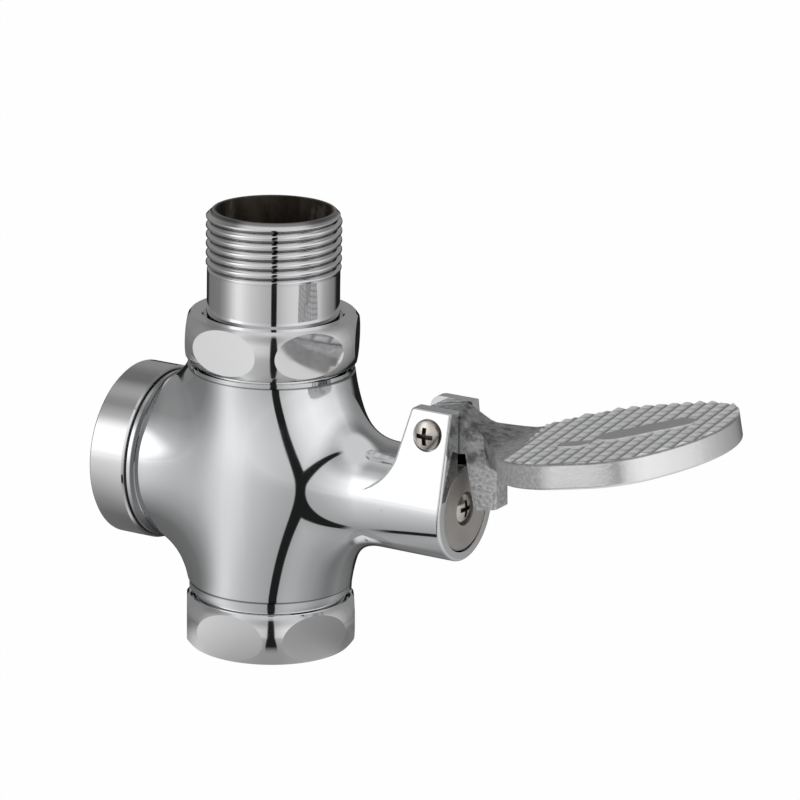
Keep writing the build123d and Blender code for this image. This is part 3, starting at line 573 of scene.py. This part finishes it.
def trimmed(points, beyond):
    """Moves the first points past a rim back onto it; gives the points and which of them are kept."""
    moved = points.copy()
    nearest = np.full(beyond.shape, -1.0)
    for axis, step in ((0, 1), (0, -1), (1, 1), (1, -1)):
        neighbour = np.roll(points, step, axis)
        within = np.roll(beyond, step, axis)
        if axis == 0:
            # The grid is open at both ends of this axis, so nothing lies within the rim past them
            within[0 if step == 1 else -1] = 1
        share = -within / np.where(beyond > 0, beyond - within, 1)
        use = (beyond > 0) & (within <= 0) & (share > nearest)
        moved[use] = (neighbour + share[..., None] * (points - neighbour))[use]
        nearest[use] = share[use]
    return moved, (beyond <= 0) | (nearest >= 0)


def rim_shoulder(points, faces):
    """Flat ring from each upper and lower rim of the skin in under the turned bead.

    Each open edge (p, q) of the faces at a rim's height gives the quad q, p, p', q', where the last two are
    p and q moved straight in to the shoulder's radius.
    """
    count = len(points)
    edges = np.concatenate([np.stack([face, np.roll(face, -1, 1)], -1).reshape(-1, 2) for face in faces])
    pair = edges.min(1) * count + edges.max(1)
    _, place, uses = np.unique(pair, return_index=True, return_counts=True)
    edges = edges[np.sort(place[uses == 1])]
    ring = points[edges]
    foot = np.abs(ring[..., 2] - barrel_foot).max(1) < 1e-6
    top = np.abs(ring[..., 2] - barrel_top).max(1) < 1e-6
    ring = ring[foot | top]
    inner = ring.copy()
    inner[..., :2] *= shoulder_radius / np.linalg.norm(inner[..., :2], axis=-1)[..., None]
    corners = np.concatenate([ring[:, ::-1], inner], 1).reshape(-1, 3)
    return corners, count + np.arange(len(corners)).reshape(-1, 4)


def build_skin():
    """Cast skin of the body as one surface over (polar angle p from +X, turn a about the push axis).

    Each point is c + t (cos p, sin p cos a, sin p sin a), with c on the push axis and t the root of
    skin_distance on that ray. The surface is trimmed at the beads, the rear collar and the horn.
    """
    rows = 300
    columns = 270
    halvings = 36
    centre = np.array((skin_centre, 0, push_axis))
    polar = np.linspace(radians(skin_polar[0]), radians(skin_polar[1]), rows)[:, None]
    turn = np.linspace(0, 2 * pi, columns, endpoint=False)[None, :]
    ray = np.cos(polar), np.sin(polar) * np.cos(turn), np.sin(polar) * np.sin(turn)
    ray = np.stack(np.broadcast_arrays(*ray), -1)
    near = np.full((rows, columns), skin_reach[0])
    far = np.full((rows, columns), skin_reach[1])
    for _ in range(halvings):
        middle = (near + far) / 2
        outside = skin_distance(centre + middle[..., None] * ray) > 0
        far = np.where(outside, middle, far)
        near = np.where(outside, near, middle)
    points = centre + near[..., None] * ray
    x = points[..., 0]
    z = points[..., 2]
    beyond = np.maximum.reduce([z - barrel_top, barrel_foot - z, tube_rear - x, x - skin_front])
    points, kept = trimmed(points, beyond)
    points = points.reshape(-1, 3)
    kept = kept.reshape(-1)
    within = (beyond <= 0).reshape(-1)

    # A cell is kept with three or four of its corners, if at least one lies within the rims
    grid = np.arange(rows * columns).reshape(rows, columns)
    ahead = np.roll(grid, -1, 1)
    cells = np.stack([grid[:-1], grid[1:], ahead[1:], ahead[:-1]], -1).reshape(-1, 4)
    cells = cells[within[cells].any(1)]
    corners_kept = kept[cells].sum(1)
    quads = cells[corners_kept == 4]
    cut = cells[corners_kept == 3]
    triangles = cut[kept[cut]].reshape(-1, 3)
    corners, shoulder = rim_shoulder(points, [quads, triangles])
    points = np.concatenate([points, corners])
    faces = np.concatenate([quads.ravel(), triangles.ravel(), shoulder.ravel()])
    used, order = np.unique(faces, return_inverse=True)
    quads, triangles, shoulder = np.split(order.ravel(), np.cumsum([quads.size, triangles.size]))
    quads = quads.reshape(-1, 4).tolist()
    triangles = triangles.reshape(-1, 3).tolist()
    shoulder = shoulder.reshape(-1, 4).tolist()
    mesh = bpy.data.meshes.new("body_skin")
    mesh.from_pydata((points[used] * mm).tolist(), [], quads + triangles + shoulder)
    smooth = np.ones(len(mesh.polygons), bool)
    smooth[-len(shoulder):] = False
    mesh.polygons.foreach_set("use_smooth", smooth)
    mesh.materials.append(finishes["chrome_body"])
    skin = bpy.data.objects.new("body_skin", mesh)
    bpy.context.scene.collection.objects.link(skin)
    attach(skin, "housing")


def around(degrees):
    """A direction round the upright axis, as compass gives it: -180 degrees is 0 and 180 is 1."""
    return degrees / 360 + 0.5


def above(degrees):
    """A height over the horizon as a share: straight down is 0 and straight up is 1."""
    return degrees / 180 + 0.5


def compass(x, y):
    """Direction round the upright axis, from -Y towards +X, as a share of a turn."""
    return x.math("ARCTAN2", x, -y) / (2 * pi) + 0.5


def tinted(first, second):
    """Product of two greys."""
    settings = {"data_type": "RGBA", "blend_type": "MULTIPLY"}
    return first.node("Mix", settings, {0: 1.0, 6: first, 7: second}, 2)


def wall_greys(turn):
    """Brightness of the tent's walls all the way round: one bright panel on each side, grey behind."""
    return turn.stops(
        (around(-180), 0.25), (around(-100), 0.235), (around(-72), 0.27), (around(-60), 0.40),
        (around(-50), 0.60), (around(-40), 0.90), (around(-32), 1.08), (around(-25), 1.08),
        (around(-15), 0.93), (around(-5), 0.80), (around(5), 0.72), (around(15), 0.64),
        (around(27), 0.57), (around(39), 0.60), (around(47), 0.72), (around(57), 0.83),
        (around(75), 0.93), (around(90), 0.88), (around(105), 0.78), (around(117), 0.74),
        (around(127), 0.52), (around(137), 0.41), (around(150), 0.30), (around(165), 0.25),
        (around(180), 0.25),
    )


def lens_slit(turn):
    """Mask of the dark slit through which the lens looks in."""
    return turn.ramp(around(28), around(29.2)) * turn.ramp(around(38.6), around(37.4))


def build_floor():
    """A pale floor, white to the camera.

    The chrome sees a table there: the walls' greys, darker towards the part, less so in front of it, in
    shade under the horn, and black behind the part and under the lens.
    """
    size = floor_half_size
    mesh = bpy.data.meshes.new("floor")
    corners = [(-size, -size, 0), (size, -size, 0), (size, size, 0), (-size, size, 0)]
    mesh.from_pydata(corners, [], [(0, 1, 2, 3)])
    floor = bpy.data.objects.new("floor", mesh)
    bpy.context.scene.collection.objects.link(floor)
    material = bpy.data.materials.new("floor")
    material.use_nodes = True
    tree = material.node_tree
    tree.nodes.clear()
    place = Field(tree, tree.nodes.new("ShaderNodeTexCoord").outputs["Object"])
    turn = compass(place.part("X"), place.part("Y"))
    distance = apart(place.part("X"), place.part("Y"))
    around_part = distance.stops(
        (0, 0.28), (0.02, 0.34), (0.04, 0.47), (0.063, 0.66),
        (0.13, 0.74), (0.26, 0.80), (0.5, 0.89), (1.0, 1.0),
    )
    before_part = distance.stops(
        (0, 0.45), (0.024, 0.60), (0.045, 0.70), (0.08, 0.74),
        (0.13, 0.76), (0.26, 0.80), (0.5, 0.89), (1.0, 1.0),
    )
    before = turn.ramp(around(-75), around(-45)) * turn.ramp(around(100), around(75))
    from_horn = apart(place.part("X") - horn_middle, place.part("Y")).ramp(*horn_shade)
    shade = tinted(mix(before, around_part, before_part), from_horn.stops((0, 0.5), (1, 1.0)))
    slit = lens_slit(turn) * distance.ramp(0.024, 0.034)
    behind = turn.ramp(around(156), around(172)) + turn.ramp(around(-106), around(-122))
    black = slit + behind * distance.ramp(0.015, 0.045)
    table = mix(black, tinted(wall_greys(turn), shade), lens_black)
    table = table.node("Emission", {}, {"Color": table, "Strength": 1.0})
    paper = place.node("BsdfDiffuse", {}, {"Color": (0.85, 0.85, 0.85, 1)})
    white = place.node("Emission", {}, {"Color": (1, 1, 1, 1), "Strength": 1.0})
    lit = place.node("MixShader", {}, {0: floor_white, 1: paper, 2: white})
    path = Field(tree, tree.nodes.new("ShaderNodeLightPath").outputs["Is Camera Ray"])
    both = path.node("MixShader", {}, {0: path, 1: table, 2: lit})
    tree.links.new(both.socket, tree.nodes.new("ShaderNodeOutputMaterial").inputs["Surface"])
    mesh.materials.append(material)


def build_studio():
    """A light tent as a world: grey walls with bright panels and a dark slit for the lens.

    One more panel stands in front, towards -X. The ceiling is an even grey, and the camera sees white.
    """
    world = bpy.data.worlds.new("light tent")
    bpy.context.scene.world = world
    world.use_nodes = True
    tree = world.node_tree
    tree.nodes.clear()
    look = Field(tree, tree.nodes.new("ShaderNodeTexCoord").outputs["Generated"])
    rise = look.part("Z").math("ARCSINE", look.part("Z")) / pi + 0.5
    turn = compass(look.part("X"), look.part("Y"))
    height = rise.stops(
        (above(0), 1.0), (above(8), 1.12), (above(24), 1.12), (above(42), 0.74), (above(90), 0.72),
    )
    walls = mix(lens_slit(turn), tinted(wall_greys(turn), height), lens_black)
    panel = turn.ramp(around(-54), around(-40)) * turn.ramp(around(-18), around(-28))
    panel = panel * rise.ramp(above(-2), above(9)) * rise.ramp(above(42), above(22))
    walls = mix(panel, walls, (1.4, 1.4, 1.4))
    tent = mix(rise.ramp(above(50), above(66)), walls, (0.7, 0.7, 0.7))
    path = Field(tree, tree.nodes.new("ShaderNodeLightPath").outputs["Is Camera Ray"])
    colour = mix(path, tent, (1, 1, 1))
    light = colour.node("Background", {}, {"Color": colour, "Strength": 1.0})
    tree.links.new(light.socket, tree.nodes.new("ShaderNodeOutputWorld").inputs["Surface"])


def place_camera():
    """The photograph's camera, worked out from its azimuth, rise, roll and distance."""
    turn = radians(camera_azimuth)
    rise = radians(camera_rise)
    roll = radians(camera_roll)
    back = Vector((sin(turn) * cos(rise), -cos(turn) * cos(rise), sin(rise)))
    right = Vector((cos(turn), sin(turn), 0))
    up = back.cross(right)
    place = Vector((0, 0, camera_aim_height)) + camera_distance * back
    place -= camera_shift[0] * right + camera_shift[1] * up
    rolled = right * cos(roll) + up * sin(roll)
    upright = back.cross(rolled)
    camera = bpy.data.objects.new("camera", bpy.data.cameras.new("camera"))
    camera.data.sensor_width = sensor_width
    camera.data.lens = camera_focal_pixels * sensor_width / photo_pixels
    camera.data.clip_end = 100
    turned = Matrix((rolled, upright, back)).transposed().to_4x4()
    camera.matrix_world = Matrix.Translation(place * mm) @ turned
    bpy.context.scene.collection.objects.link(camera)
    bpy.context.scene.camera = camera


dress_nodes()
build_nipple()
build_skin()
build_floor()
build_studio()
place_camera()
bpy.context.scene.view_settings.view_transform = "Standard"
